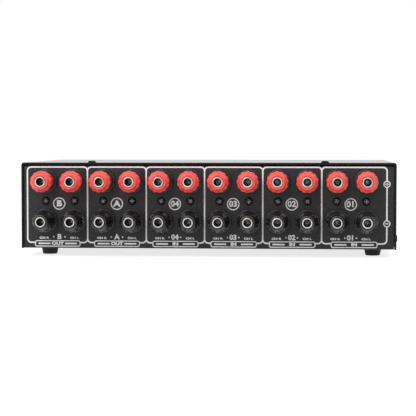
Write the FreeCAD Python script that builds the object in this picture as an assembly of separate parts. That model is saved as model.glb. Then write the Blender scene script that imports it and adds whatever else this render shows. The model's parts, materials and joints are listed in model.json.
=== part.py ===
import FreeCAD, Part
import math
import os

# Speaker selector switch: a low steel case with 24 binding posts on the rear wall and two knobs in front.
# Millimetres. +Z is up, the knobs face -Y, the posts face +Y. The origin is on the table, under the middle.

# Case
case_width = 250.0
case_height = 57.4
case_depth = 145.0
cover_sheet = 1.4
cover_bend = 1.8
tray_sheet = 1.2
tray_bend = 0.8
side_gap = 0.3
top_gap = 0.15
panel_inset = 1.0
rear_flange = 13.0
front_flange = 9.0
side_flange = 12.0
lip_trim = 3.0
front_plate = 5.0
front_corner = 2.0
front_chamfer = 0.8

# Feet
foot_height = 5.6
foot_top_r = 6.0
foot_bottom_r = 5.0
foot_sides = 16
foot_from_side = 14.5
foot_from_end = 27.0

# Binding posts
pair_count = 12
post_pitch = 19.45
post_shift = 1.7
red_height = 45.0
black_height = 18.5
post_reach = 21.5
post_r = 3.35
post_sides = 8
post_neck = 4.2
socket_r = 2.05
socket_depth = 15.0
flange_r = 8.0
flange_thick = 2.6
flange_sides = 12
flange_neck = 8.6
neck_gap = 0.1

# Caps of the posts
cap_r = 7.4
cap_grips = 12
cap_skirt = 8.6
cap_nose_r = 5.3
cap_short_of_tip = 0.7
cap_seat_gap = 0.3
cap_thread_gap = 0.06

# Insulating blocks and the circuit board behind the rear wall
block_space = 1.05
block_end = 7.5
block_thick = 3.4
board_gap = 3.0
board_thick = 1.6
board_margin = 1.0

# Screws
screw_head_r = 2.75
screw_head_high = 1.3
screw_crown_r = 2.2
screw_core_r = 1.5
screw_hole_gap = 0.15
screw_length = 4.2
head_sides = 8
core_sides = 4
terminal_screw_height = 31.8
top_screw_x = 78.0
top_screw_from_rear = 6.0
side_screw_from_end = 12.0
side_screw_height = 6.8

# Rotary switches
knob_x = 62.5
switch_width = 28.0
switch_corner = 5.0
switch_housing_depth = 9.0
bush_r = 4.5
bush_length = 10.6
bush_hole_gap = 0.2
bush_sides = 12
shaft_r = 3.0
shaft_gap = 0.05
washer_r = 7.0
washer_thick = 0.7
washer_teeth = 6
washer_tooth = 0.8
nut_flats = 12.0
nut_thick = 2.4
nut_gap = 0.05
wafer_across = 34.0
wafer_high = 27.0
wafer_thick = 1.6
wafer_spacing = 9.5
wafer_corner = 7.0
rotor_r = 7.0
rotor_thick = 2.4
rotor_gap = 0.3
rotor_sides = 12
blade_reach = 3.0
blade_width = 2.4
blade_thick = 0.5
blade_lap = 1.0
blade_root_short = 0.6
spacer_x = 12.5
spacer_r = 2.6
spacer_sides = 6
shaft_past_rotor = 1.5
input_decks = 2
output_decks = 2
seat = 0.02

# Knobs
knob_r = 15.0
knob_flats = 24
knob_height = 15.5
knob_gap = 1.0
knob_bevel = 1.2
knob_hollow_r = 9.0
knob_hollow_depth = 5.4
knob_wall = 2.5
pointer_width = 1.4
pointer_depth = 0.8
pointer_length = 8.0
grub_r = 1.5
grub_length = 5.0
input_rest_turn = -45.0
output_rest_turn = -30.0

# Wiring
header_width = 16.0
header_high = 6.0
header_depth = 8.5
header_lift = 18.5
loom_width = 13.0
loom_thick = 2.0
loom_sag = 11.0
loom_stretches = 6

# Places that follow from the sizes above
knob_proud = knob_gap + knob_height
whole_depth = knob_proud + case_depth - panel_inset + post_reach
front_y = -whole_depth / 2 + knob_proud
plate_back_y = front_y + front_plate
cover_rear_y = front_y + case_depth
panel_y = cover_rear_y - panel_inset
wall_inner_y = panel_y - tray_sheet
post_tip_y = panel_y + post_reach
base_z = foot_height
top_z = foot_height + case_height
block_width = post_pitch - block_space
tray_half = case_width / 2 - cover_sheet - side_gap
tray_top = top_z - cover_sheet - top_gap
block_back_y = wall_inner_y - block_thick
board_front_y = block_back_y - board_gap
board_back_y = board_front_y - board_thick
switch_y = plate_back_y + tray_sheet
knob_z = base_z + case_height / 2
post_turn = 180.0 / post_sides
post_x = [post_shift + post_pitch * (i - (pair_count - 1) / 2) for i in range(pair_count)]

os.makedirs("parts", exist_ok=True)


def save(name, solids):
    shape = solids[0] if len(solids) == 1 else Part.makeCompound(solids)
    shape.exportStep("parts/" + name + ".step")


def vec(x, y, z):
    return FreeCAD.Vector(x, y, z)


def outline(corners, place):
    """A closed wire through (a, b, radius) corners, each rounded to its radius, put in space by place(a, b)."""
    count = len(corners)
    points = [vec(a, b, 0) for a, b, _ in corners]
    edges = []
    ends = []
    for i in range(count):
        here = points[i]
        back = (points[i - 1] - here).normalize()
        on = (points[(i + 1) % count] - here).normalize()
        radius = corners[i][2]
        if radius == 0:
            ends.append((here, here, None))
            continue
        half = back.getAngle(on) / 2
        reach = radius / math.tan(half)
        middle = (back + on).normalize() * (radius / math.sin(half) - radius)
        ends.append((here + back * reach, here + on * reach, here + middle))
    for i in range(count):
        start, stop, bulge = ends[i]
        if bulge is not None:
            edges.append(Part.Arc(*(place(p.x, p.y) for p in (start, bulge, stop))).toShape())
        following = ends[(i + 1) % count][0]
        if stop.distanceToPoint(following) > 1e-6:
            edges.append(Part.LineSegment(place(stop.x, stop.y), place(following.x, following.y)).toShape())
    return Part.Wire(edges)


def plate(corners, place, along):
    return Part.Face(outline(corners, place)).extrude(along)


def rectangle(width, height, corner):
    a, b = width / 2, height / 2
    return [(-a, -b, corner), (a, -b, corner), (a, b, corner), (-a, b, corner)]


def ring_points(sides, radii, x, y, z, turn=0.0):
    """Points round the line along Y through (x, z), with the radii taken in turn."""
    points = []
    for i in range(sides):
        angle = math.radians(turn) + 2 * math.pi * i / sides
        radius = radii[i % len(radii)]
        points.append(vec(x + radius * math.sin(angle), y, z + radius * math.cos(angle)))
    return points


def polygon_wire(points):
    return Part.makePolygon(points + points[:1])


def bar(sides, radii, x, z, y0, y1, turn=0.0):
    """A straight bar along Y with a many-sided section."""
    face = Part.Face(polygon_wire(ring_points(sides, radii, x, y0, z, turn)))
    return face.extrude(vec(0, y1 - y0, 0))


def taper(sides, r0, r1, x, z, y0, y1, turn=0.0):
    """A bar along Y whose section shrinks evenly, with flat sides."""
    near = ring_points(sides, [r0], x, y0, z, turn)
    far = ring_points(sides, [r1], x, y1, z, turn)
    faces = [Part.Face(polygon_wire(near)), Part.Face(polygon_wire(far))]
    for i in range(sides):
        j = (i + 1) % sides
        faces.append(Part.Face(polygon_wire([near[i], near[j], far[j], far[i]])))
    return Part.makeSolid(Part.makeShell(faces))


def block(x0, x1, y0, y1, z0, z1):
    return Part.makeBox(x1 - x0, y1 - y0, z1 - z0, vec(x0, y0, z0))


def square_bar(side, x, z, y0, y1):
    return block(x - side / 2, x + side / 2, y0, y1, z - side / 2, z + side / 2)


def turned(shape, origin, axis, degrees):
    copy = shape.copy()
    copy.rotate(origin, axis, degrees)
    return copy


def post_places():
    for x in post_x:
        yield x, base_z + red_height
        yield x, base_z + black_height


def screw():
    """A pan head screw with its seat at the origin and its head towards +Y."""
    head = taper(head_sides, screw_head_r, screw_crown_r, 0, 0, 0, screw_head_high)
    core = bar(core_sides, [screw_core_r], 0, 0, -screw_length, 0)
    return head.fuse(core).removeSplitter()


def screw_hole(depth_in, depth_out=1.0):
    return bar(core_sides, [screw_core_r + screw_hole_gap], 0, 0, -depth_in, depth_out)


def top_screw_places():
    for side in (-1, 1):
        yield vec(side * top_screw_x, cover_rear_y - top_screw_from_rear, top_z)


def side_screw_places():
    for side in (-1, 1):
        for y in (plate_back_y + side_screw_from_end, cover_rear_y - side_screw_from_end):
            yield side, vec(side * case_width / 2, y, base_z + side_screw_height)


def on_cover(shape):
    """Copies of a shape made for a +Y screw, one at each cover screw."""
    copies = []
    for place in top_screw_places():
        copy = turned(shape, vec(0, 0, 0), vec(1, 0, 0), 90)
        copy.translate(place)
        copies.append(copy)
    for side, place in side_screw_places():
        copy = turned(shape, vec(0, 0, 0), vec(0, 0, 1), -90 * side)
        copy.translate(place)
        copies.append(copy)
    return copies


def on_rear_wall(shape):
    """Copies of a shape made for a +Y screw, one between the posts of each pair."""
    copies = []
    for x in post_x:
        copy = shape.copy()
        copy.translate(vec(x, panel_y, base_z + terminal_screw_height))
        copies.append(copy)
    return copies


def chassis_tray():
    """One bent sheet: front wall, floor and rear wall with a turned-in lip at each top, and two side lips."""
    t = tray_sheet
    bend_in, bend_out = tray_bend, tray_bend + tray_sheet
    y0, y1 = plate_back_y, panel_y
    profile = [
        (y0, base_z, bend_out),
        (y1, base_z, bend_out),
        (y1, tray_top, bend_out),
        (y1 - rear_flange, tray_top, 0),
        (y1 - rear_flange, tray_top - t, 0),
        (y1 - t, tray_top - t, bend_in),
        (y1 - t, base_z + t, bend_in),
        (y0 + t, base_z + t, bend_in),
        (y0 + t, tray_top - t, bend_in),
        (y0 + front_flange, tray_top - t, 0),
        (y0 + front_flange, tray_top, 0),
        (y0, tray_top, bend_out),
    ]
    sheet = plate(profile, lambda a, b: vec(-tray_half, a, b), vec(2 * tray_half, 0, 0))
    lips = []
    for side in (-1, 1):
        lip = [
            (side * tray_half, base_z, bend_out),
            (side * tray_half, base_z + side_flange, 0),
            (side * (tray_half - t), base_z + side_flange, 0),
            (side * (tray_half - t), base_z + t, bend_in),
            (side * (tray_half - side_flange), base_z + t, 0),
            (side * (tray_half - side_flange), base_z, 0),
        ]
        start = y0 + bend_out + t
        length = y1 - y0 - 2 * (bend_out + t)
        edge = side * tray_half
        trim = block(edge - lip_trim, edge + lip_trim, start, start + length, base_z - 1, base_z + lip_trim)
        sheet = sheet.cut(trim)
        lips.append(plate(lip, lambda a, b: vec(a, start, b), vec(0, length, 0)))
    sheet = sheet.fuse(lips).removeSplitter()
    cuts = [square_bar(flange_neck + 2 * neck_gap, x, z, y1 - 2 * t, y1 + t) for x, z in post_places()]
    cuts += on_rear_wall(screw_hole(2 * t))
    cuts += on_cover(screw_hole(cover_sheet + 3 * t))
    for side in (-1, 1):
        hole = bar(bush_sides, [bush_r + bush_hole_gap], side * knob_x, knob_z, y0 - t, y0 + 2 * t)
        cuts.append(hole)
    return sheet.cut(cuts)


def top_cover():
    """The U-shaped cover: a top with two bends and two sides down to the floor's level."""
    half = case_width / 2
    t = cover_sheet
    profile = [
        (-half, base_z, 0),
        (-half, top_z, cover_bend),
        (half, top_z, cover_bend),
        (half, base_z, 0),
        (half - t, base_z, 0),
        (half - t, top_z - t, cover_bend - t),
        (-half + t, top_z - t, cover_bend - t),
        (-half + t, base_z, 0),
    ]
    length = cover_rear_y - plate_back_y
    cover = plate(profile, lambda a, b: vec(a, plate_back_y, b), vec(0, length, 0))
    return cover.cut(on_cover(screw_hole(2 * t)))


def front_panel():
    """The thick front plate, with rounded corners, a chamfer round its face and two holes for the bushes."""
    middle = vec(0, front_y, base_z + case_height / 2)
    corners = rectangle(case_width, case_height, front_corner)
    body = plate(corners, lambda a, b: middle + vec(a, 0, b), vec(0, front_plate, 0))
    rim = [e for e in body.Edges if abs(e.BoundBox.YMax - front_y) < 1e-6]
    body = body.makeChamfer(front_chamfer, rim)
    holes = [
        bar(bush_sides, [bush_r + bush_hole_gap], side * knob_x, knob_z, front_y - 1, plate_back_y + 1)
        for side in (-1, 1)
    ]
    return body.cut(holes)


def foot(x, y):
    """A tapered rubber foot, wide at the case."""
    body = taper(foot_sides, foot_top_r, foot_bottom_r, 0, 0, 0, foot_height)
    body.rotate(vec(0, 0, 0), vec(1, 0, 0), -90)
    body.translate(vec(x, y, base_z))
    return body


def rubber_feet():
    x = case_width / 2 - foot_from_side
    ends = (front_y + foot_from_end, cover_rear_y - foot_from_end)
    return [foot(side * x, y) for side in (-1, 1) for y in ends]


def terminal_flange(x, z):
    """The insulating collar under a cap: a disc outside the wall and a square neck through it."""
    disc = bar(flange_sides, [flange_r], x, z, panel_y, panel_y + flange_thick)
    neck = square_bar(flange_neck, x, z, block_back_y, panel_y)
    hole = square_bar(post_neck, x, z, block_back_y - 1, panel_y + flange_thick + 1)
    return disc.fuse(neck).cut(hole).removeSplitter()


def terminal_post(x, z):
    """The metal tube: a blind 4 mm socket in front and a square neck behind that stops it turning."""
    foot_y = panel_y + flange_thick
    tube = bar(post_sides, [post_r], x, z, foot_y, post_tip_y, post_turn)
    neck = square_bar(post_neck, x, z, board_front_y, foot_y)
    socket = Part.makeCylinder(socket_r, socket_depth, vec(x, post_tip_y - socket_depth, z), vec(0, 1, 0))
    return tube.fuse(neck).removeSplitter().cut(socket)


def terminal_cap(x, z):
    """The screw cap: a skirt with flats to grip, a tapered nose and a bore that fits the tube."""
    y0 = panel_y + flange_thick + cap_seat_gap
    y1 = post_tip_y - cap_short_of_tip
    y_nose = y0 + cap_skirt
    skirt = bar(cap_grips, [cap_r], x, z, y0, y_nose)
    nose = taper(cap_grips, cap_r, cap_nose_r, x, z, y_nose, y1)
    bore = bar(post_sides, [post_r + cap_thread_gap], x, z, y0 - 1, y1 + 1, post_turn)
    return skirt.fuse(nose).cut(bore).removeSplitter()


def terminal_block(x):
    """The insulator inside the wall that carries a red and a black post."""
    low = base_z + black_height - block_end
    high = base_z + red_height + block_end
    body = block(x - block_width / 2, x + block_width / 2, block_back_y, wall_inner_y, low, high)
    cuts = [
        square_bar(flange_neck + 2 * neck_gap, x, base_z + height, block_back_y - 1, wall_inner_y + 1)
        for height in (red_height, black_height)
    ]
    core = screw_hole(screw_length + screw_hole_gap)
    core.translate(vec(x, panel_y, base_z + terminal_screw_height))
    return body.cut(cuts + [core])


def rear_board():
    """The circuit board that stands on the tails of the posts."""
    reach = post_pitch * (pair_count - 1) / 2 + block_width / 2
    low = base_z + black_height - block_end + board_margin / 2
    high = base_z + red_height + block_end - board_margin / 2
    return block(post_shift - reach, post_shift + reach, board_back_y, board_front_y, low, high)


def wire_header(x):
    z = base_z + header_lift
    y0 = board_back_y - header_depth
    half = header_width / 2
    return block(x - half, x + half, y0, board_back_y, z - header_high / 2, z + header_high / 2)


def loom(x, decks):
    """A flat loom that sags in short stretches from the header to the last wafer of its switch."""
    z = base_z + header_lift
    y0 = board_back_y - header_depth
    y1 = wafer_y(decks - 1) + wafer_thick
    upper = []
    lower = []
    for i in range(loom_stretches + 1):
        share = i / loom_stretches
        sag = 4 * loom_sag * share * (1 - share)
        upper.append(vec(x - loom_width / 2, y0 + (y1 - y0) * share, z - sag + loom_thick / 2))
        lower.append(upper[-1] - vec(0, 0, loom_thick))
    return Part.Face(polygon_wire(upper + lower[::-1])).extrude(vec(loom_width, 0, 0))


def octagon(width, height, corner):
    a, b, c = width / 2, height / 2, corner
    points = [(-a, -b + c), (-a + c, -b), (a - c, -b), (a, -b + c)]
    points += [(-p, -q) for p, q in points]
    return [(p, q, 0) for p, q in points]


def upright(x, y):
    return lambda a, b: vec(x + a, y, knob_z + b)


def switch_housing(x):
    """The index housing with its threaded bush."""
    corners = octagon(switch_width, switch_width, switch_corner)
    body = plate(corners, upright(x, switch_y), vec(0, switch_housing_depth, 0))
    bush = bar(bush_sides, [bush_r], x, knob_z, switch_y - bush_length, switch_y)
    bore_r = (shaft_r + shaft_gap) / math.cos(math.pi / bush_sides)
    y_end = switch_y + switch_housing_depth + 1
    bore = bar(bush_sides, [bore_r], x, knob_z, switch_y - bush_length - 1, y_end)
    return body.fuse(bush).cut(bore).removeSplitter()


def wafer_y(deck):
    return switch_y + switch_housing_depth + (deck + 1) * wafer_spacing - wafer_thick


def switch_wafer(x, deck):
    y = wafer_y(deck)
    body = plate(octagon(wafer_across, wafer_high, wafer_corner), upright(x, y), vec(0, wafer_thick, 0))
    eye_r = (rotor_r + rotor_gap) / math.cos(math.pi / rotor_sides)
    return body.cut(bar(rotor_sides, [eye_r], x, knob_z, y - 1, y + wafer_thick + 1))


def switch_spacers(x, decks):
    """Two spacers in each bay, from the housing to the first wafer and from wafer to wafer."""
    solids = []
    for deck in range(decks):
        y0 = switch_y + switch_housing_depth + deck * wafer_spacing
        for side in (-1, 1):
            solids.append(bar(spacer_sides, [spacer_r], x + side * spacer_x, knob_z, y0, wafer_y(deck)))
    return solids


def switch_rotor(x, deck, turn):
    """The turning contact carrier in a wafer's eye, with one blade that reaches over the wafer's face."""
    y = wafer_y(deck) + (wafer_thick - rotor_thick) / 2
    disc = bar(rotor_sides, [rotor_r], x, knob_z, y, y + rotor_thick)
    bore = bar(bush_sides, [shaft_r + seat], x, knob_z, y - 1, y + rotor_thick + 1)
    blade_y = wafer_y(deck) - rotor_gap
    x0, x1 = x - blade_width / 2, x + blade_width / 2
    y0 = blade_y - blade_thick
    blade = block(x0, x1, y0, blade_y, knob_z + rotor_r - blade_lap, knob_z + rotor_r + blade_reach)
    root_low = knob_z + shaft_r + blade_lap
    root = block(x0, x1, y0, y + blade_thick, root_low, knob_z + rotor_r - blade_root_short)
    rotor = disc.fuse([root, blade]).cut(bore).removeSplitter()
    return turned(rotor, vec(x, 0, knob_z), vec(0, 1, 0), turn)


def shaft_front():
    return front_y - knob_gap - knob_height + knob_wall


def switch_shaft(x, decks, turn):
    y1 = wafer_y(decks - 1) + wafer_thick + shaft_past_rotor
    return bar(bush_sides, [shaft_r], x, knob_z, shaft_front(), y1, turn)


def lock_washer(x):
    washer = bar(2 * washer_teeth, [washer_r, washer_r - washer_tooth], x, knob_z, front_y - washer_thick, front_y)
    hole = bar(bush_sides, [bush_r + bush_hole_gap], x, knob_z, front_y - 2, front_y + 1)
    return washer.cut(hole)


def bush_nut(x):
    y1 = front_y - washer_thick
    nut = bar(6, [nut_flats / 2 / math.cos(math.pi / 6)], x, knob_z, y1 - nut_thick, y1)
    return nut.cut(bar(bush_sides, [bush_r + nut_gap], x, knob_z, y1 - nut_thick - 1, y1 + 1))


def knob(x, turn):
    """A knob with flats round its edge, a bevelled face with a pointer groove and a hollow back over the nut."""
    back = front_y - knob_gap
    face = back - knob_height
    rim = bar(knob_flats, [knob_r], x, knob_z, face + knob_bevel, back)
    bevel = taper(knob_flats, knob_r - knob_bevel, knob_r, x, knob_z, face, face + knob_bevel)
    hollow = bar(bush_sides, [knob_hollow_r], x, knob_z, back - knob_hollow_depth, back + 1)
    bore = bar(bush_sides, [shaft_r + seat], x, knob_z, shaft_front(), back)
    groove = block(x - pointer_width / 2, x + pointer_width / 2, face - 1, face + pointer_depth,
                   knob_z + knob_r - pointer_length, knob_z + knob_r + 1)
    grub = turned(grub_hole(x), vec(x, 0, knob_z), vec(0, 1, 0), 180)
    body = rim.fuse(bevel).cut([hollow, bore, groove, grub]).removeSplitter()
    return turned(body, vec(x, 0, knob_z), vec(0, 1, 0), turn)


def grub_y():
    return front_y - knob_gap - knob_hollow_depth - 2 * grub_r


def grub_hole(x):
    hole = bar(core_sides, [grub_r], 0, 0, 0, knob_r + 1)
    hole.rotate(vec(0, 0, 0), vec(1, 0, 0), 90)
    hole.translate(vec(x, grub_y(), knob_z))
    return hole


def grub_screw(x, turn):
    body = bar(core_sides, [grub_r - seat], 0, 0, 0, grub_length)
    body.rotate(vec(0, 0, 0), vec(1, 0, 0), 90)
    body.translate(vec(x, grub_y(), knob_z + shaft_r + seat))
    return turned(body, vec(x, 0, knob_z), vec(0, 1, 0), 180 + turn)


save("chassis_tray", [chassis_tray()])
save("top_cover", [top_cover()])
save("front_panel", [front_panel()])
save("rubber_feet", rubber_feet())
save("cover_screws", on_cover(screw()))
save("terminal_screws", on_rear_wall(screw()))
save("terminal_flanges", [terminal_flange(x, z) for x, z in post_places()])
save("terminal_posts", [terminal_post(x, z) for x, z in post_places()])
save("terminal_blocks", [terminal_block(x) for x in post_x])
save("rear_board", [rear_board()])
save("wire_headers", [wire_header(side * knob_x) for side in (-1, 1)])

switches = (("input", -knob_x, input_decks, input_rest_turn), ("output", knob_x, output_decks, output_rest_turn))
for name, x, decks, turn in switches:
    save(name + "_loom", [loom(x, decks)])
    save(name + "_switch_housing", [switch_housing(x)])
    save(name + "_switch_wafers", [switch_wafer(x, deck) for deck in range(decks)])
    save(name + "_switch_spacers", switch_spacers(x, decks))
    save(name + "_lock_washer", [lock_washer(x)])
    save(name + "_bush_nut", [bush_nut(x)])
    save(name + "_shaft", [switch_shaft(x, decks, turn)])
    save(name + "_rotors", [switch_rotor(x, deck, turn) for deck in range(decks)])
    save(name + "_knob", [knob(x, turn)])
    save(name + "_grub_screw", [grub_screw(x, turn)])

# Caps are numbered from the left of the rear view, which is the +X end.
for number, x in enumerate(reversed(post_x), start=1):
    save("red_cap_%02d" % number, [terminal_cap(x, base_z + red_height)])
    save("black_cap_%02d" % number, [terminal_cap(x, base_z + black_height)])
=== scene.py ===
import json
import math
import bmesh
import bpy
from mathutils import Matrix, Vector


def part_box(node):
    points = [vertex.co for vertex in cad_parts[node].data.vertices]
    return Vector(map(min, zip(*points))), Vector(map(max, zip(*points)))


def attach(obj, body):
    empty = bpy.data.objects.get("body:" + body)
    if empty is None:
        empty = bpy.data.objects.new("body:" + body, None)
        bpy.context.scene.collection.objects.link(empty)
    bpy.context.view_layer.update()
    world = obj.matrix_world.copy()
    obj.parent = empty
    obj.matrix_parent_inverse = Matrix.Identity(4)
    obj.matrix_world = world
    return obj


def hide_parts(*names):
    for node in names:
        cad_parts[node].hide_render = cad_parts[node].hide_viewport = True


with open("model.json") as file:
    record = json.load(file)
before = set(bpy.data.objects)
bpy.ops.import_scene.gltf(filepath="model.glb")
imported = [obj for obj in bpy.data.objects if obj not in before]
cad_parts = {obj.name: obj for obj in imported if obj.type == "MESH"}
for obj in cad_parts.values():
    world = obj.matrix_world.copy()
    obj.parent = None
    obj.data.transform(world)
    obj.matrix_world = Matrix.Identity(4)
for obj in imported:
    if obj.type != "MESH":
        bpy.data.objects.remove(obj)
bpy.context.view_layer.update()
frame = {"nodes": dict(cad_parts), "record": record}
scene = bpy.context.scene
milli = 0.001  # shapes and patterns are given in millimetres
print("frame loaded:", len(frame["nodes"]), "nodes")

# The camera stands behind the case, a little to the right and a little above
cameraPlace = {
    "position": (-0.0703, 1.0423, 0.0780), "target": (-0.00043, 0.0700, 0.03288),
    "lens": 127.0, "sensor": 36.0, "clipEnd": 20.0,
}


def makeCamera(place):
    data = bpy.data.cameras.new("rearCamera")
    data.lens = place["lens"]
    data.sensor_width = place["sensor"]
    data.clip_end = place["clipEnd"]
    camera = bpy.data.objects.new("rearCamera", data)
    scene.collection.objects.link(camera)
    camera.location = place["position"]
    aim = Vector(place["target"]) - Vector(place["position"])
    camera.rotation_euler = aim.to_track_quat("-Z", "Y").to_euler()
    scene.camera = camera


makeCamera(cameraPlace)
print("camera placed")


# Materials
def toLinear(hexText):
    channels = [int(hexText[i:i + 2], 16) / 255 for i in (1, 3, 5)]
    return [c / 12.92 if c <= 0.04045 else ((c + 0.055) / 1.055) ** 2.4 for c in channels] + [1.0]


def addNode(tree, kind, settings=None, links=None):
    node = tree.nodes.new(kind)
    for key, value in (settings or {}).items():
        if key in node.inputs:
            node.inputs[key].default_value = value
        else:
            setattr(node, key, value)
    for key, source in (links or {}).items():
        tree.links.new(source, node.inputs[key])
    return node


def startFinish(name, shaderSettings):
    material = bpy.data.materials.new(name)
    material.use_nodes = True
    tree = material.node_tree
    tree.nodes.clear()
    shader = addNode(tree, "ShaderNodeBsdfPrincipled", shaderSettings)
    addNode(tree, "ShaderNodeOutputMaterial", links={"Surface": shader.outputs["BSDF"]})
    return material, tree, shader


def makeFinish(name, shaderSettings, tint, rough=None, relief=None, stops=(0.35, 0.65), mapping=None):
    # tint is (pattern, dark, pale), rough is (pattern, low, high) and relief is (pattern, height in mm).
    # A pattern is a kind of texture node and its settings.
    material, tree, shader = startFinish(name, shaderSettings)
    coordinates = addNode(tree, "ShaderNodeTexCoord")
    mapped = addNode(tree, "ShaderNodeMapping", mapping, {"Vector": coordinates.outputs["Object"]})
    place = {"Vector": mapped.outputs["Vector"]}
    pattern, darkHex, paleHex = tint
    texture = addNode(tree, *pattern, place)
    ramp = addNode(tree, "ShaderNodeValToRGB", links={"Fac": texture.outputs["Fac"]})
    for element, stop, hexText in zip(ramp.color_ramp.elements, stops, (darkHex, paleHex)):
        element.position = stop
        element.color = toLinear(hexText)
    tree.links.new(ramp.outputs["Color"], shader.inputs["Base Color"])
    if rough:
        pattern, low, high = rough
        texture = addNode(tree, *pattern, place)
        # A pattern seldom leaves 0.3 to 0.7, so that span is spread over the two values
        span = {"From Min": 0.3, "From Max": 0.7, "To Min": low, "To Max": high}
        spread = addNode(tree, "ShaderNodeMapRange", span, {"Value": texture.outputs["Fac"]})
        tree.links.new(spread.outputs["Result"], shader.inputs["Roughness"])
    if relief:
        pattern, height = relief
        texture = addNode(tree, *pattern, place)
        bump = addNode(tree, "ShaderNodeBump", {"Strength": 1.0, "Distance": height * milli},
                       {"Height": texture.outputs["Fac"]})
        tree.links.new(bump.outputs["Normal"], shader.inputs["Normal"])
    return material


def grain(size, detail=2.0):
    return "ShaderNodeTexNoise", {"Scale": 1 / (size * milli), "Detail": detail}


weavePitch = 1.2
ringPitch = 0.5
weave = ("ShaderNodeTexChecker", {"Scale": 1 / (weavePitch * milli)})
# A wave texture repeats every 0.314 / scale
toolRings = ("ShaderNodeTexWave", {"Scale": 0.314 / (ringPitch * milli), "Distortion": 0.4,
                                   "wave_type": "RINGS", "rings_direction": "Y"})


def turnedAnodised(name, centre):
    # Lathe-turned, anodised aluminium: fine rings about the shaft that spread each highlight into a wedge.
    # Real tool marks are about 0.1 mm apart and are drawn at ringPitch so that they show.
    return makeFinish(name, {"Metallic": 0.75}, tint=(toolRings, "#1B1B1D", "#2C2C2F"),
                      rough=(toolRings, 0.24, 0.36), relief=(toolRings, 0.012), stops=(0.2, 0.8),
                      mapping={"Location": [-c * milli for c in centre]})


finishes = {
    # Polyester powder baked on steel: a fine orange-peel grain that breaks up the sheen.
    # Real grain is about 0.3 mm and is drawn at 0.9 mm so that it shows.
    "black_powder_coat": makeFinish(
        "texturedPowderCoat", {"IOR": 1.5, "Specular IOR Level": 0.25},
        tint=(grain(0.9, 3.0), "#1B1B1D", "#343436"), rough=(grain(1.8), 0.36, 0.5),
        relief=(grain(0.9, 3.0), 0.02)),
    # Brushed and anodised aluminium: long fine lines one way and a soft metallic sheen across them.
    # Real brush lines are about 0.1 mm and are drawn at 0.5 mm so that they show.
    "black_anodised": makeFinish(
        "brushedBlackAnodised", {"Metallic": 0.75}, tint=(grain(0.5, 4.0), "#1D1D1F", "#303033"),
        rough=(grain(0.5, 4.0), 0.3, 0.5), relief=(grain(0.5, 4.0), 0.01), stops=(0.3, 0.7),
        mapping={"Scale": (0.02, 1, 1)}),
    # Moulded rubber: matt, dark, with a little dust in the grain.
    "black_rubber": makeFinish(
        "mouldedRubber", {"IOR": 1.52}, tint=(grain(0.8), "#161616", "#242424"),
        rough=(grain(0.8), 0.65, 0.85), relief=(grain(0.8), 0.03)),
    # Black zinc on steel: dark, with tight highlights, slightly clouded by handling.
    "black_screw": makeFinish(
        "blackZincScrew", {"Metallic": 1.0}, tint=(grain(1.2), "#121213", "#2E2E30"),
        rough=(grain(0.6), 0.16, 0.28)),
    # Moulded ABS: even and glossy, with the faint unevenness of a worn mould.
    "black_plastic": makeFinish(
        "blackMouldedAbs", {"IOR": 1.49}, tint=(grain(4.0), "#1A1A1C", "#242426"),
        rough=(grain(2.5), 0.18, 0.3), relief=(grain(3.0), 0.01)),
    # Moulded acrylic in one strong colour, a little duller than the black where hands have turned it.
    "red_plastic": makeFinish(
        "redMouldedAcrylic", {"IOR": 1.49}, tint=(grain(4.0), "#F04943", "#FB5A52"),
        rough=(grain(2.5), 0.24, 0.36), relief=(grain(3.0), 0.01)),
    # Bright nickel plate: a warm white metal with sharp reflections.
    "nickel": makeFinish(
        "brightNickel", {"Metallic": 1.0}, tint=(grain(3.0), "#B4B2AD", "#D6D3CD"),
        rough=(grain(1.5), 0.14, 0.28)),
    # Zinc plate on stamped steel: a cooler and duller grey than nickel.
    "zinc": makeFinish(
        "zincPlate", {"Metallic": 1.0}, tint=(grain(3.0), "#A4A7AA", "#C3C6C8"),
        rough=(grain(1.5), 0.3, 0.45)),
    # Green solder resist over glass epoxy: glossy, with faint copper fields below.
    "circuit_board": makeFinish(
        "solderResist", {"IOR": 1.5}, tint=(grain(5.0), "#1B5A2C", "#23703A"),
        rough=(grain(2.0), 0.25, 0.4), stops=(0.48, 0.52)),
    # Moulded nylon: creamy white and half matt.
    "white_plastic": makeFinish(
        "whiteNylon", {"IOR": 1.49}, tint=(grain(4.0), "#D9D6C8", "#E6E3D6"),
        rough=(grain(2.5), 0.35, 0.5), relief=(grain(3.0), 0.01)),
    # Braided polyester sleeve: dark, with a regular over-and-under weave.
    "wire_sleeve": makeFinish(
        "wovenSleeve", {"Roughness": 0.7}, tint=(weave, "#1C1C1E", "#3A3A3E"), relief=(weave, 0.1)),
    # Punched phenolic sheet: brown and half matt, with the speckle of pressed paper, drawn at 0.9 mm.
    "phenolic": makeFinish(
        "punchedPhenolic", {"IOR": 1.5, "Specular IOR Level": 0.5},
        tint=(grain(0.9, 3.0), "#6A3F22", "#7E4D2B"), rough=(grain(1.8), 0.4, 0.55),
        relief=(grain(0.9, 3.0), 0.01)),
    # Turned and anodised aluminium of the plain knob blanks, with lines round the rim, drawn at 0.5 mm.
    "knob_aluminium": makeFinish(
        "turnedBlackAnodised", {"Metallic": 0.75}, tint=(grain(0.5, 4.0), "#19191B", "#2B2B2E"),
        rough=(grain(0.5, 4.0), 0.24, 0.4), relief=(grain(0.5, 4.0), 0.01), stops=(0.3, 0.7),
        mapping={"Scale": (1, 0.05, 1)}),
}
# Screen-printed epoxy ink: flat, with a slightly uneven cover where the grain below shows through.
inkFilm = {"IOR": 1.5, "Roughness": 0.55}
ink = makeFinish("whiteScreenInk", inkFilm, tint=(grain(1.0), "#F2F2F2", "#FFFFFF"))
darkInk = makeFinish("blackScreenInk", inkFilm, tint=(grain(1.0), "#121213", "#1B1B1C"))
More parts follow.
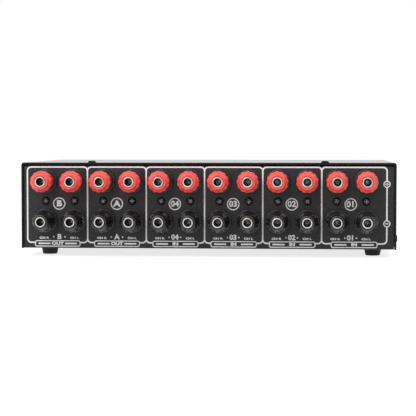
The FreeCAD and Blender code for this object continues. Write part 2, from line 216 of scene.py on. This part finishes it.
# The socket bore is drawn in a darker metal than the nickel, as painted shade for the deep blind hole; it is
# dull, with a few paler spots.
boreShadeMetal = makeFinish("socketBorePaintedShade", {"Metallic": 1.0}, tint=(grain(1.1), "#4A4A4B", "#A6A4A0"),
                         rough=(grain(0.55), 0.22, 0.4))
# The cross recess is bare steel, lighter than the black head: partly wear from the driver, partly a painted
# glint.
wornRecessGlintSteel = makeFinish("driverWornPaintedGlint", {"Metallic": 1.0}, tint=(grain(0.8), "#2E2E30", "#7C7C7E"),
                       rough=(grain(0.4), 0.2, 0.35))
# The cover has a smoother coat than the rear wall: darker from behind and bright at a low angle.
coverCoat = makeFinish("satinCoverCoat", {"IOR": 1.5, "Specular IOR Level": 0.15},
                       tint=(grain(0.9, 3.0), "#121213", "#18181A"), rough=(grain(1.8), 0.13, 0.17),
                       relief=(grain(0.9, 3.0), 0.001))
print("materials made:", len(bpy.data.materials))

for subpart in frame["record"]["subparts"]:
    for nodeSlot in frame["nodes"][subpart["node"]].material_slots:
        nodeSlot.material = finishes[subpart["material_slot"]]
for nodeSlot in frame["nodes"]["top_cover"].material_slots:
    nodeSlot.material = coverCoat
print("frame nodes finished")


# Shared making functions. Turned shapes are drawn about the Y axis, outer end up in +Y.
def boxMm(node):
    low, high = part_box(node)
    return Vector(low) / milli, Vector(high) / milli


def solidBoxes(node):
    # The box of each separate solid in a node, in order along X, then Y, then Z
    bm = bmesh.new()
    bm.from_mesh(frame["nodes"][node].data)
    bmesh.ops.remove_doubles(bm, verts=bm.verts, dist=1e-6)
    waiting = set(bm.verts)
    boxes = []
    while waiting:
        group = [waiting.pop()]
        for vert in group:
            for edge in vert.link_edges:
                other = edge.other_vert(vert)
                if other in waiting:
                    waiting.remove(other)
                    group.append(other)
        spans = list(zip(*(v.co for v in group)))
        boxes.append((Vector(min(s) for s in spans) / milli, Vector(max(s) for s in spans) / milli))
    bm.free()
    return sorted(boxes, key=lambda b: (round(b[0].x), round(b[0].y), round(b[0].z)))


def turnAbout(degrees, axis):
    return Matrix.Rotation(math.radians(degrees), 4, axis)


def arc(centreRadius, centreY, radius, fromDegrees, toDegrees, parts):
    angles = [math.radians(fromDegrees + (toDegrees - fromDegrees) * i / parts) for i in range(parts + 1)]
    return [(centreRadius + radius * math.cos(a), centreY + radius * math.sin(a)) for a in angles]


def lathe(profile, steps, closed=False):
    bm = bmesh.new()
    points = [bm.verts.new((radius, y, 0)) for radius, y in profile]
    edges = [bm.edges.new(pair) for pair in zip(points, points[1:])]
    if closed:
        edges.append(bm.edges.new((points[-1], points[0])))
    bmesh.ops.spin(bm, geom=points + edges, cent=(0, 0, 0), axis=(0, 1, 0), dvec=(0, 0, 0),
                   angle=2 * math.pi, steps=steps, use_merge=True, use_duplicate=False)
    bmesh.ops.remove_doubles(bm, verts=bm.verts, dist=1e-4)
    bmesh.ops.dissolve_degenerate(bm, dist=1e-5, edges=bm.edges)
    bmesh.ops.recalc_face_normals(bm, faces=bm.faces)
    return bm


def addBlock(bm, low, high):
    low, high = Vector(low), Vector(high)
    place = Matrix.Translation((low + high) / 2) @ Matrix.Diagonal([*(high - low), 1])
    bmesh.ops.create_cube(bm, size=1, matrix=place)


def makeRod(radius, low, high, sides):
    # A round bar along Z
    bm = bmesh.new()
    bmesh.ops.create_cone(bm, cap_ends=True, segments=sides, radius1=radius, radius2=radius, depth=high - low,
                          matrix=Matrix.Translation((0, 0, (low + high) / 2)))
    return toMesh(bm, "rod")


def toMesh(bm, name):
    mesh = bpy.data.meshes.new(name)
    bm.to_mesh(mesh)
    bm.free()
    return mesh


def cutAway(mesh, cutterMesh):
    solid = bpy.data.objects.new("solid", mesh)
    cutter = bpy.data.objects.new("cutter", cutterMesh)
    for item in (solid, cutter):
        scene.collection.objects.link(item)
    modifier = solid.modifiers.new("cut", "BOOLEAN")
    modifier.object = cutter
    modifier.operation = "DIFFERENCE"
    modifier.solver = "EXACT"
    bpy.context.view_layer.update()
    result = bpy.data.meshes.new_from_object(solid.evaluated_get(bpy.context.evaluated_depsgraph_get()))
    for item in (solid, cutter):
        bpy.data.objects.remove(item)
    return result


def coatFaces(bm, radius, low, high):
    # The second material goes on faces near the Y axis and between two heights
    for face in bm.faces:
        middle = face.calc_center_median()
        near = math.hypot(middle.x, middle.z) < radius
        face.material_index = 1 if near and low < middle.y < high else 0


def gather(copies, name):
    bm = bmesh.new()
    for mesh, place in copies:
        copy = mesh.copy()
        copy.transform(place)
        bm.from_mesh(copy)
        bpy.data.meshes.remove(copy)
    return toMesh(bm, name)


def addPiece(mesh, name, body, slotName, replaced=(), materials=None, sharpAngle=35):
    mesh.transform(Matrix.Scale(milli, 4))
    for material in materials or [finishes[slotName]]:
        mesh.materials.append(material)
    mesh.shade_smooth()
    mesh.set_sharp_from_angle(angle=math.radians(sharpAngle))
    piece = bpy.data.objects.new(name, mesh)
    scene.collection.objects.link(piece)
    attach(piece, body)
    if replaced:
        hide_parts(*replaced)


# Screw caps of the binding posts. The red ones carry their grip near the tip, the black ones at the wall.
capDesign = {
    "boreRadius": 3.45, "mouthBevel": 0.45, "edge": 0.7, "shoulder": 0.3, "fluteCount": 12, "fluteFade": 1.6,
    "fluteClear": 1.0, "gripRings": (0.3, 0.5, 0.7, 0.85), "slopeRings": (0.6, 1.0, 1.4), "collarRise": 0.25,
    "collarFrom": 1.4, "collarTo": 0.6, "steps": 120, "turnStep": 37, "sharpAngle": 50,
    "red": {"gripRadius": 7.1, "backRadius": 6.1, "gripFrom": 9.6, "gripTo": 15.4, "noseRadius": 5.3,
            "noseEdge": 0.8, "fluteDepth": 0.37},
    "black": {"gripRadius": 7.4, "backRadius": 7.4, "gripFrom": 0.0, "gripTo": 8.0, "noseRadius": 4.9,
              "noseEdge": 0.9, "fluteDepth": 0.45},
}


def capMesh(design, form, length):
    grip, nose, back = form["gripRadius"], form["noseRadius"], form["backRadius"]
    start, stop, noseEdge = form["gripFrom"], form["gripTo"], form["noseEdge"]
    bore, bevel = design["boreRadius"], design["mouthBevel"]
    edge, shoulder = design["edge"], design["shoulder"]
    profile = [(bore, 0)]
    if start:
        profile += arc(back - edge, edge, edge, -90, 0, 4)
        profile += [(back, start - design["collarFrom"])]
        profile += [(back + design["collarRise"], start - design["collarTo"])]
    profile += arc(grip - edge, start + edge, edge, -60 if start else -90, 0, 4)
    profile += [(grip, start + (stop - start) * share) for share in design["gripRings"]]
    profile += arc(grip - edge, stop - shoulder, edge, 0, 45, 3)
    slope = (grip - shoulder - nose) / (length - noseEdge - stop)
    profile += [(grip - shoulder - slope * rise, stop + rise) for rise in design["slopeRings"]]
    profile += arc(nose - noseEdge, length - noseEdge, noseEdge, 15, 90, 5)
    profile += [(bore + bevel, length), (bore, length - bevel)]
    bm = lathe(profile, design["steps"], closed=True)
    fade = design["fluteFade"]
    for vert in bm.verts:
        radius = math.hypot(vert.co.x, vert.co.z)
        if radius < bore + design["fluteClear"]:
            continue
        angle = math.atan2(vert.co.x, vert.co.z)
        lobe = (0.5 + 0.5 * math.cos(design["fluteCount"] * angle)) ** 2
        after = (stop + fade - vert.co.y) / fade
        before = (vert.co.y - start + fade) / fade
        hold = max(0, min(1, after, before))
        scale = 1 - form["fluteDepth"] * lobe * hold / radius
        vert.co.x *= scale
        vert.co.z *= scale
    return toMesh(bm, "cap")


def makeCaps(design):
    low, high = boxMm("red_cap_01")
    shapes = {colour: capMesh(design, design[colour], high.y - low.y) for colour in ("red", "black")}
    names = sorted(n for n in frame["nodes"] if "_cap_" in n)
    for number, node in enumerate(names):
        low, high = boxMm(node)
        middle = Vector(((low.x + high.x) / 2, low.y, (low.z + high.z) / 2))
        colour = node.split("_")[0]
        mesh = shapes[colour].copy()
        mesh.transform(Matrix.Translation(middle) @ turnAbout(design["turnStep"] * number, "Y"))
        addPiece(mesh, node + "_moulded", node, colour + "_plastic", [node], sharpAngle=design["sharpAngle"])
    print("caps made:", len(names))


makeCaps(capDesign)

# Metal tubes with thread, wire hole and 4 mm socket
postDesign = {
    "radius": 3.35, "threadDepth": 0.28, "threadPitch": 0.75, "threadTurns": 13, "threadFrom": 0.5,
    "crest": (0.4, 0.6), "runOut": 0.3, "socketRadius": 2.05, "socketDepth": 15.0, "socketPoint": 0.8,
    "mouth": 0.6, "mouthDepth": 1.1, "rim": 0.2, "wireRadius": 1.2, "wireHeight": 1.9, "wireSteps": 24,
    "coatMargin": 1.0, "neck": 4.2, "steps": 48,
}


def postMesh(design, length, neckLength):
    radius, socket, mouth = design["radius"], design["socketRadius"], design["mouth"]
    pitch, root, turns = design["threadPitch"], radius - design["threadDepth"], design["threadTurns"]
    first, depth, rim = design["threadFrom"], design["socketDepth"], design["rim"]
    profile = [(0, 0), (root, 0)]
    for i in range(turns):
        profile += [(root, first + pitch * i)]
        profile += [(radius, first + pitch * (i + share)) for share in design["crest"]]
    profile += [(root, first + pitch * turns), (radius, first + pitch * turns + design["runOut"])]
    profile += arc(radius - rim, length - rim, rim, 0, 90, 3)
    profile += [(socket + mouth, length), (socket, length - design["mouthDepth"])]
    profile += [(socket, length - depth), (0, length - depth - design["socketPoint"])]
    tube = toMesh(lathe(profile, design["steps"]), "tube")
    drill = makeRod(design["wireRadius"], -1.5 * radius, 1.5 * radius, design["wireSteps"])
    drill.transform(Matrix.Translation((0, design["wireHeight"], 0)))
    bm = bmesh.new()
    bm.from_mesh(cutAway(tube, drill))
    # Faces inside the socket take the darker metal, painted shade for the deep bore.
    coatFaces(bm, socket + mouth, length - depth - design["coatMargin"], length)
    half = design["neck"] / 2
    addBlock(bm, (-half, -neckLength, -half), (half, 0, half))
    return toMesh(bm, "post")


# Insulating collars under the caps
flangeDesign = {
    "radius": 8.0, "edge": 0.5, "step": 0.35, "stepRadius": 6.9, "stepSlope": 0.2, "eye": 3.0, "neck": 8.6,
    "hole": 4.2, "steps": 64,
}


def flangeMesh(design, thick, neckLength):
    radius, edge, eye, inner = design["radius"], design["edge"], design["eye"], design["stepRadius"]
    ledge = thick - design["step"]
    profile = [(eye, 0), (radius, 0), (radius, ledge - edge)]
    profile += arc(radius - edge, ledge - edge, edge, 0, 90, 4)
    profile += [(inner + design["stepSlope"], ledge), (inner, thick), (eye, thick)]
    disc = toMesh(lathe(profile, design["steps"], closed=True), "disc")
    half, gap = design["neck"] / 2, design["hole"] / 2
    neck, hole = bmesh.new(), bmesh.new()
    addBlock(neck, (-half, -neckLength, -half), (half, 0, half))
    addBlock(hole, (-gap, -neckLength - 1, -gap), (gap, 1, gap))
    sleeve = cutAway(toMesh(neck, "neck"), toMesh(hole, "hole"))
    return gather([(disc, Matrix()), (sleeve, Matrix())], "flange")


def makePosts(post, flange):
    wallY = boxMm("chassis_tray")[1].y
    postBoxes = solidBoxes("terminal_posts")
    backY, seatY = (corner.y for corner in solidBoxes("terminal_flanges")[0])
    tube = postMesh(post, postBoxes[0][1].y - seatY, seatY - postBoxes[0][0].y)
    collar = flangeMesh(flange, seatY - wallY, wallY - backY)
    tubes, collars = [], []
    for low, high in postBoxes:
        x, z = (low.x + high.x) / 2, (low.z + high.z) / 2
        tubes.append((tube, Matrix.Translation((x, seatY, z))))
        collars.append((collar, Matrix.Translation((x, wallY, z))))
    # The second metal darkens the socket bores as painted shade.
    addPiece(gather(tubes, "posts"), "threaded_posts", "case", "nickel", ["terminal_posts"],
             [finishes["nickel"], boreShadeMetal])
    addPiece(gather(collars, "collars"), "moulded_collars", "case", "black_plastic", ["terminal_flanges"])
    print("posts made:", len(tubes))


makePosts(postDesign, flangeDesign)

# Pan head screws with a cross recess
screwDesign = {
    "headRadius": 2.75, "headHeight": 1.3, "edge": 0.45, "crownDrop": 0.55,
    "crownAngles": (0.9, 0.7, 0.5, 0.25), "slotWidth": 0.8, "slotLength": 3.1, "slotDepth": 1.0,
    "recessRim": 0.2, "recessMargin": 0.1, "coreRadius": 1.45, "coreLength": 4.0, "steps": 40, "turnStep": 23,
}


def screwMesh(design):
    radius, height, core = design["headRadius"], design["headHeight"], design["coreRadius"]
    profile = [(0, -design["coreLength"]), (core, -design["coreLength"]), (core, 0), (radius, 0)]
    profile += [(radius, design["edge"])]
    for angle in design["crownAngles"]:
        profile += [(radius * math.sin(angle), height - design["crownDrop"] * (1 - math.cos(angle)))]
    head = toMesh(lathe(profile + [(0, height)], design["steps"]), "head")
    width, length, depth = design["slotWidth"] / 2, design["slotLength"] / 2, design["slotDepth"]
    bm = bmesh.new()
    addBlock(bm, (-length, height - depth, -width), (length, height + 1, width))
    slot = toMesh(bm, "slot")
    crossing = slot.copy()
    crossing.transform(turnAbout(90, "Y"))
    bm = bmesh.new()
    bm.from_mesh(cutAway(cutAway(head, slot), crossing))
    # The cross recess takes the lighter steel, partly wear and partly a painted glint.
    coatFaces(bm, length + design["recessMargin"], 0, height - design["recessRim"])
    return toMesh(bm, "screw")


def makeScrews(design):
    shape = screwMesh(design)
    coats = [finishes["black_screw"], wornRecessGlintSteel]
    wallY = boxMm("chassis_tray")[1].y
    copies = []
    for number, (low, high) in enumerate(solidBoxes("terminal_screws")):
        place = Matrix.Translation(((low.x + high.x) / 2, wallY, (low.z + high.z) / 2))
        copies.append((shape, place @ turnAbout(design["turnStep"] * number, "Y")))
    addPiece(gather(copies, "wallScrews"), "wall_screws", "case", "black_screw", ["terminal_screws"], coats)
    coverLow, coverHigh = boxMm("top_cover")
    copies = []
    for number, (low, high) in enumerate(solidBoxes("cover_screws")):
        place, turn = (low + high) / 2, turnAbout(90, "X")
        if high.z > coverHigh.z:
            place.z = coverHigh.z
        else:
            turn = turnAbout(-90 if place.x > 0 else 90, "Z")
            place.x = coverHigh.x if place.x > 0 else coverLow.x
        spin = turnAbout(design["turnStep"] * number, "Y")
        copies.append((shape, Matrix.Translation(place) @ turn @ spin))
    addPiece(gather(copies, "caseScrews"), "case_screws", "case", "black_screw", ["cover_screws"], coats)
    print("screws made")


makeScrews(screwDesign)

# Rubber feet, drawn upside down
footDesign = {
    "bottomShare": 5 / 6, "edge": 0.7, "dimpleRadius": 2.8, "dimpleDepth": 1.4, "dimpleEdge": 0.3,
    "dimpleTaper": 0.2, "steps": 56,
}


def makeFeet(design):
    boxes = solidBoxes("rubber_feet")
    low, high = boxes[0]
    top, height, edge = (high.x - low.x) / 2, high.z - low.z, design["edge"]
    dimple, floor = design["dimpleRadius"], height - design["dimpleDepth"]
    profile = [(0, 0), (top, 0)]
    profile += arc(top * design["bottomShare"] - edge, height - edge, edge, 10, 90, 4)
    profile += [(dimple + design["dimpleEdge"], height), (dimple, height - design["dimpleEdge"])]
    profile += [(dimple - design["dimpleTaper"], floor), (0, floor)]
    shape = toMesh(lathe(profile, design["steps"]), "foot")
    copies = []
    for low, high in boxes:
        middle = (low + high) / 2
        place = Matrix.Translation((middle.x, middle.y, high.z))
        copies.append((shape, place @ turnAbout(-90, "X")))
    addPiece(gather(copies, "feet"), "moulded_feet", "case", "black_rubber", ["rubber_feet"])
    print("feet made")


makeFeet(footDesign)

# Knobs: turned, with a knurled rim, a bevelled face, an inlaid pointer and a grub screw
knobDesign = {
    "bevel": 1.1, "rearEdge": 0.5, "groove": 0.3, "grooveFrom": 1.2, "grooveTo": 0.9, "dish": 0.5,
    "dishRadius": 12.4, "dishSlope": 0.4, "knurlCount": 60, "knurlDepth": 0.28, "knurlReach": 0.2,
    "ringShare": 0.4, "bore": 3.05, "hollowRadius": 9.0, "hollow": 5.4, "frontWall": 2.5, "steps": 360,
    "sharpAngle": 28, "restTurn": {"input": -45.0, "output": -30.0},
}
pointerDesign = {"width": 1.3, "inner": 4.5, "outer": 11.8, "proud": 0.06, "inlay": 0.3}
grubDesign = {
    "radius": 1.48, "gap": 0.1, "length": 5.0, "tipReach": 0.02, "keyWidth": 1.5, "keyDepth": 2.0,
    "sides": 28,
}


def knobMesh(design, radius, height):
    dish, hollow, edge, groove = design["dish"], design["hollow"], design["rearEdge"], design["groove"]
    top, rimTop, face = height - design["frontWall"], height - design["bevel"], design["dishRadius"]
    profile = [(0, top), (design["bore"], top), (design["bore"], hollow)]
    profile += [(design["hollowRadius"], hollow), (design["hollowRadius"], 0)]
    profile += arc(radius - edge, edge, edge, -90, 0, 3)
    profile += [(radius, height * design["ringShare"]), (radius, rimTop - design["grooveFrom"])]
    profile += [(radius - groove, rimTop - design["grooveTo"]), (radius - groove, rimTop)]
    profile += [(radius - design["bevel"] - groove, height), (face, height)]
    profile += [(face - design["dishSlope"], height - dish), (0, height - dish)]
    bm = lathe(profile, design["steps"])
    knurlTop = rimTop - (design["grooveFrom"] + design["grooveTo"]) / 2
    for vert in bm.verts:
        size = math.hypot(vert.co.x, vert.co.z)
        if size > radius - design["knurlReach"] and vert.co.y < knurlTop:
            angle = math.atan2(vert.co.x, vert.co.z)
            scale = 1 - design["knurlDepth"] * (0.5 + 0.5 * math.cos(design["knurlCount"] * angle)) / size
            vert.co.x *= scale
            vert.co.z *= scale
    return toMesh(bm, "knob")


def makeKnob(side, knob, pointer, grub):
    body, node = side + "_selector", side + "_knob"
    low, high = boxMm(node)
    radius = (high.z - low.z) / 2
    centre = Vector(((low.x + high.x) / 2, high.y, (low.z + high.z) / 2))
    swing = Matrix.Translation((centre.x, 0, centre.z)) @ turnAbout(knob["restTurn"][side], "Y")
    # The grub screw lies across the knob, on the side away from the pointer
    grubLow, grubHigh = boxMm(side + "_grub_screw")
    radial = swing @ Matrix.Translation((0, (grubLow.y + grubHigh.y) / 2, 0)) @ turnAbout(180, "X")
    drill = makeRod(grub["radius"] + grub["gap"], knob["bore"] - 1, radius + 1, grub["sides"])
    drill.transform(radial)
    mesh = knobMesh(knob, radius, high.y - low.y)
    mesh.transform(Matrix.Translation(centre) @ turnAbout(180, "Z"))
    addPiece(cutAway(mesh, drill), side + "_turned_knob", body, "knob_aluminium", [node],
             [turnedAnodised(side + "TurnedAnodised", centre)], sharpAngle=knob["sharpAngle"])
    inner = knob["bore"] - grub["tipReach"]
    outer = inner + grub["length"]
    key = makeRod(grub["keyWidth"] / 2 / math.cos(math.pi / 6), outer - grub["keyDepth"], outer + 1, 6)
    mesh = cutAway(makeRod(grub["radius"], inner, outer, grub["sides"]), key)
    mesh.transform(radial)
    addPiece(mesh, side + "_socket_grub", body, "black_screw", [side + "_grub_screw"])
    faceY, half = low.y + knob["dish"], pointer["width"] / 2
    bm = bmesh.new()
    addBlock(bm, (-half, faceY - pointer["proud"], pointer["inner"]),
             (half, faceY + pointer["inlay"], pointer["outer"]))
    mesh = toMesh(bm, "pointer")
    mesh.transform(swing)
    addPiece(mesh, side + "_pointer_inlay", body, "knob_aluminium", materials=[ink])
    print(side, "knob made")


for side in ("input", "output"):
    makeKnob(side, knobDesign, pointerDesign, grubDesign)

# Printing. Places are (right, up) in millimetres from the middle of the bottom edge, as the reader sees it.
printDesign = {
    "proud": 0.04, "layerStep": 0.004, "channels": ("B", "A", "04", "03", "02", "01"), "ringSteps": 48,
}
cellDesign = {
    "line": 0.95, "radius": 3.0, "edges": (-121.0, -80.4, -40.9, -1.9, 36.8, 75.8, 118.7), "top": 54.4,
    "bottom": 3.85, "gapReach": 1.0,
}
badgeDesign = {
    "height": 29.9, "radius": 3.8, "line": 0.65, "text": 5.3, "weights": (0.3, 0.17), "stretch": 1.15,
    "narrowing": 0.16, "shift": -0.6,
}
captionDesign = {
    "height": 7.6, "text": 4.6, "weight": 0.2, "stretch": 1.05, "dotReach": 3.8, "dotSize": 0.9,
    "sideReach": 10.2, "sideDrop": 0.7, "sideText": 1.8, "sideWeight": 0.1, "sideStretch": 1.5,
}
labelDesign = {
    "width": 30.8, "height": 4.2, "middle": 3.15, "radius": 1.4, "line": 0.6, "text": 2.7, "weight": 0.16,
    "stretch": 1.4, "stripeReach": 9.0, "stripeLength": 8.0, "stripeSize": 1.0,
}
signDesign = {"plus": 43.3, "minus": 17.2, "radius": 2.0, "line": 0.6, "reach": 1.1}
rearSide = Matrix(((-1, 0, 0, 0), (0, 0, 1, 0), (0, 1, 0, 0), (0, 0, 0, 1)))
frontSide = Matrix(((1, 0, 0, 0), (0, 0, -1, 0), (0, 1, 0, 0), (0, 0, 0, 1)))


def bar(x0, x1, y0, y1):
    bm = bmesh.new()
    bm.faces.new([bm.verts.new((x, y, 0)) for x, y in ((x0, y0), (x1, y0), (x1, y1), (x0, y1))])
    return bm


def midBar(x, y, halfWidth, halfHeight):
    return bar(x - halfWidth, x + halfWidth, y - halfHeight, y + halfHeight)


def dot(x, y, radius, steps):
    bm = bmesh.new()
    bmesh.ops.create_circle(bm, cap_ends=True, segments=steps, radius=radius,
                            matrix=Matrix.Translation((x, y, 0)))
    return bm


def keepRim(bm, line):
    inner = bmesh.ops.inset_region(bm, faces=list(bm.faces), thickness=line, use_even_offset=True,
                                    use_boundary=True)
    rim = set(inner["faces"])
    bmesh.ops.delete(bm, geom=[f for f in bm.faces if f not in rim], context="FACES")
    return bm


def roundedFrame(x0, x1, y0, y1, radius, line):
    bm = bar(x0, x1, y0, y1)
    bmesh.ops.bevel(bm, geom=bm.verts[:], offset=radius, affect="VERTICES", segments=8, profile=0.5,
                    material=-1)
    return keepRim(bm, line)


def openGap(bm, x0, x1, y0, y1):
    cuts = [((x, 0, 0), (1, 0, 0)) for x in (x0, x1)] + [((0, y, 0), (0, 1, 0)) for y in (y0, y1)]
    for point, normal in cuts:
        bmesh.ops.bisect_plane(bm, geom=bm.verts[:] + bm.edges[:] + bm.faces[:], dist=1e-5, plane_co=point,
                               plane_no=normal)
    middles = [(f, f.calc_center_median()) for f in bm.faces]
    inside = [f for f, middle in middles if x0 < middle.x < x1 and y0 < middle.y < y1]
    bmesh.ops.delete(bm, geom=inside, context="FACES")


def writing(text, x, y, size, weight, stretch=1.0):
    curve = bpy.data.curves.new("writing", "FONT")
    curve.body = text
    curve.size = size
    curve.offset = weight
    curve.align_x = "CENTER"
    curve.align_y = "CENTER"
    curve.resolution_u = 4
    item = bpy.data.objects.new("writing", curve)
    scene.collection.objects.link(item)
    bpy.context.view_layer.update()
    mesh = bpy.data.meshes.new_from_object(item.evaluated_get(bpy.context.evaluated_depsgraph_get()))
    bpy.data.objects.remove(item)
    mesh.transform(Matrix.Translation((x, y, 0)) @ Matrix.Diagonal((stretch, 1, 1, 1)))
    bm = bmesh.new()
    bm.from_mesh(mesh)
    bmesh.ops.remove_doubles(bm, verts=bm.verts, dist=1e-4)
    return bm


def thicken(bm, proud):
    flat = list(bm.faces)
    for face in flat:
        if face.normal.z < 0:
            face.normal_flip()
    grown = bmesh.ops.extrude_face_region(bm, geom=flat, use_keep_orig=True)["geom"]
    raised = [g for g in grown if isinstance(g, bmesh.types.BMVert)]
    bmesh.ops.translate(bm, verts=raised, vec=(0, 0, proud))
    bmesh.ops.recalc_face_normals(bm, faces=bm.faces)
    return bm


def printPiece(shapes, name, place, proud, slotName="white_plastic", coat=ink):
    copies = [(toMesh(thicken(bm, proud), "shape"), place) for bm in shapes]
    addPiece(gather(copies, name), name, "case", slotName, materials=[coat])


def makeCell(cell, middle, left, right, labelWidth):
    half, bottom, reach = cell["line"] / 2, cell["bottom"], cell["gapReach"]
    outline = roundedFrame(left - half, right + half, bottom - half, cell["top"] + half, cell["radius"],
                           cell["line"])
    openGap(outline, middle - labelWidth / 2, middle + labelWidth / 2, bottom - reach, bottom + reach)
    return outline


def makeLabel(label, middle, word):
    height, reach, rise = label["middle"], label["width"] / 2, label["height"] / 2
    shapes = [roundedFrame(middle - reach, middle + reach, height - rise, height + rise, label["radius"],
                           label["line"])]
    shapes.append(writing(word, middle, height, label["text"], label["weight"], label["stretch"]))
    for side in (-1, 1):
        shapes.append(midBar(middle + side * label["stripeReach"], height, label["stripeLength"] / 2,
                            label["stripeSize"] / 2))
    return shapes


def makeCaption(caption, middle, channel):
    height, half = caption["height"], caption["dotSize"] / 2
    shapes = [writing(channel, middle, height, caption["text"], caption["weight"], caption["stretch"])]
    for side, word in ((-1, "CH R"), (1, "CH L")):
        shapes.append(midBar(middle + side * caption["dotReach"], height, half, half))
        shapes.append(writing(word, middle + side * caption["sideReach"], height - caption["sideDrop"],
                              caption["sideText"], caption["sideWeight"], caption["sideStretch"]))
    return shapes


def makeSigns(sign, x, steps):
    shapes = []
    for name in ("plus", "minus"):
        height, half = sign[name], sign["line"] / 2
        shapes.append(keepRim(dot(x, height, sign["radius"] + half, steps), sign["line"]))
        shapes.append(midBar(x, height, sign["reach"], half))
        if name == "plus":
            shapes.append(midBar(x, height, half, sign["reach"]))
    return shapes


def makeRearPrint(design, cell, badge, caption, label, sign):
    place = Matrix.Translation((0, boxMm("chassis_tray")[1].y, boxMm("top_cover")[0].z)) @ rearSide
    edges, proud, steps = cell["edges"], design["proud"], design["ringSteps"]
    columns = sorted({round(-(low.x + high.x) / 2, 2) for low, high in solidBoxes("terminal_posts")})
    discs = []
    for number, channel in enumerate(design["channels"]):
        left, right = edges[number], edges[number + 1]
        cellMiddle = (left + right) / 2
        outline = makeCell(cell, cellMiddle, left, right, label["width"])
        if right == edges[-1]:
            for level in (sign["plus"], sign["minus"]):
                openGap(outline, right - cell["gapReach"], right + cell["gapReach"], level - sign["radius"],
                        level + sign["radius"])
        middle = (columns[2 * number] + columns[2 * number + 1]) / 2 + badge["shift"]
        discs.append(dot(middle, badge["height"], badge["radius"], steps))
        rim = dot(middle, badge["height"], badge["radius"] + badge["line"] / 2, steps)
        weight = badge["weights"][len(channel) - 1]
        stretch = badge["stretch"] / len(channel) ** badge["narrowing"]
        name = writing(channel, middle, badge["height"], badge["text"], weight, stretch)
        shapes = [outline, keepRim(rim, badge["line"]), name] + makeCaption(caption, middle, channel)
        shapes += makeLabel(label, cellMiddle, "OUT" if channel in "AB" else "IN")
        # Neighbouring cells share a line, so every other one stands a little prouder
        printPiece(shapes, "rear_print_" + channel, place, proud + design["layerStep"] * (number % 2))
    printPiece(makeSigns(sign, edges[-1], steps), "rear_print_signs", place, proud)
    printPiece(discs, "rear_print_discs", place, proud / 2, "black_plastic", darkInk)
    print("rear print made")


makeRearPrint(printDesign, cellDesign, badgeDesign, captionDesign, labelDesign, signDesign)

# Scales round the knobs, which are guessed, because the photograph shows the rear
scaleDesign = {
    "proud": 0.04, "dotRadius": 18.0, "dotSize": 0.55, "dotSteps": 24, "textRadius": 22.3, "textSize": 4.4,
    "textWeight": 0.06, "step": 30.0,
    "marks": {"input": ("1", "2", "3", "4"), "output": ("A", "B", "A+B")},
}


def makeScale(design, side, start):
    low, high = boxMm(side + "_shaft")
    x, z = (low.x + high.x) / 2, (low.z + high.z) / 2
    shapes = []
    for number, mark in enumerate(design["marks"][side]):
        angle = math.radians(start + design["step"] * number)
        across, up = math.sin(angle), math.cos(angle)
        ring, outer = design["dotRadius"], design["textRadius"]
        shapes.append(dot(x + ring * across, z + ring * up, design["dotSize"], design["dotSteps"]))
        shapes.append(writing(mark, x + outer * across, z + outer * up, design["textSize"],
                              design["textWeight"]))
    place = Matrix.Translation((0, boxMm("front_panel")[0].y, 0)) @ frontSide
    printPiece(shapes, side + "_scale", place, design["proud"])
    print(side, "scale made")


for side, start in knobDesign["restTurn"].items():
    makeScale(scaleDesign, side, start)

# Floor, lamps and world
stageDesign = {
    "floorSize": 8.0, "floorHex": "#C4C4C4", "floorRoughness": 0.9, "floorGlow": 0.78, "worldStrength": 0.65,
    "lampSize": 1.4, "aim": (0, 0, 0.03),
    "lamps": {"keyLamp": ((0.7, 1.2, 1.1), 18.5), "fillLamp": ((-0.7, -1.2, 1.1), 5.0)},
}


def lookingRay(tree):
    # 1 for rays from the camera, from a reflection or through a clear body, and 0 for light
    path = addNode(tree, "ShaderNodeLightPath")
    looking = path.outputs["Is Camera Ray"]
    for kind in ("Is Glossy Ray", "Is Transmission Ray"):
        either = addNode(tree, "ShaderNodeMath", {"operation": "MAXIMUM"},
                         {0: looking, 1: path.outputs[kind]})
        looking = either.outputs["Value"]
    return looking


def makeFloor(design):
    # Matt white paper: the lamps and a little glow for the camera bring it to white, and shadows still show.
    paper = {"Base Color": toLinear(design["floorHex"]), "Roughness": design["floorRoughness"],
             "Emission Color": (1, 1, 1, 1)}
    material, tree, shader = startFinish("whitePaper", paper)
    glow = addNode(tree, "ShaderNodeMapRange", {"To Min": 0.0, "To Max": design["floorGlow"]},
                   {"Value": lookingRay(tree)})
    tree.links.new(glow.outputs["Result"], shader.inputs["Emission Strength"])
    bm = bmesh.new()
    bmesh.ops.create_grid(bm, x_segments=1, y_segments=1, size=design["floorSize"] / 2)
    mesh = toMesh(bm, "floor")
    mesh.materials.append(material)
    floor = bpy.data.objects.new("floor", mesh)
    scene.collection.objects.link(floor)


def makeLamps(design):
    for name, (place, power) in design["lamps"].items():
        data = bpy.data.lights.new(name, "AREA")
        data.energy = power
        data.size = design["lampSize"]
        lamp = bpy.data.objects.new(name, data)
        scene.collection.objects.link(lamp)
        lamp.location = place
        aim = Vector(design["aim"]) - Vector(place)
        lamp.rotation_euler = aim.to_track_quat("-Z", "Y").to_euler()


def makeWorld(design):
    world = bpy.data.worlds.new("studio")
    scene.world = world
    world.use_nodes = True
    tree = world.node_tree
    tree.nodes.clear()
    strength = addNode(tree, "ShaderNodeMapRange", {"To Min": design["worldStrength"], "To Max": 1.0},
                       {"Value": lookingRay(tree)})
    sky = addNode(tree, "ShaderNodeBackground", {"Color": (1, 1, 1, 1)},
                  {"Strength": strength.outputs["Result"]})
    addNode(tree, "ShaderNodeOutputWorld", links={"Surface": sky.outputs["Background"]})


makeFloor(stageDesign)
makeLamps(stageDesign)
makeWorld(stageDesign)
scene.view_settings.view_transform = "Standard"
print("stage set")
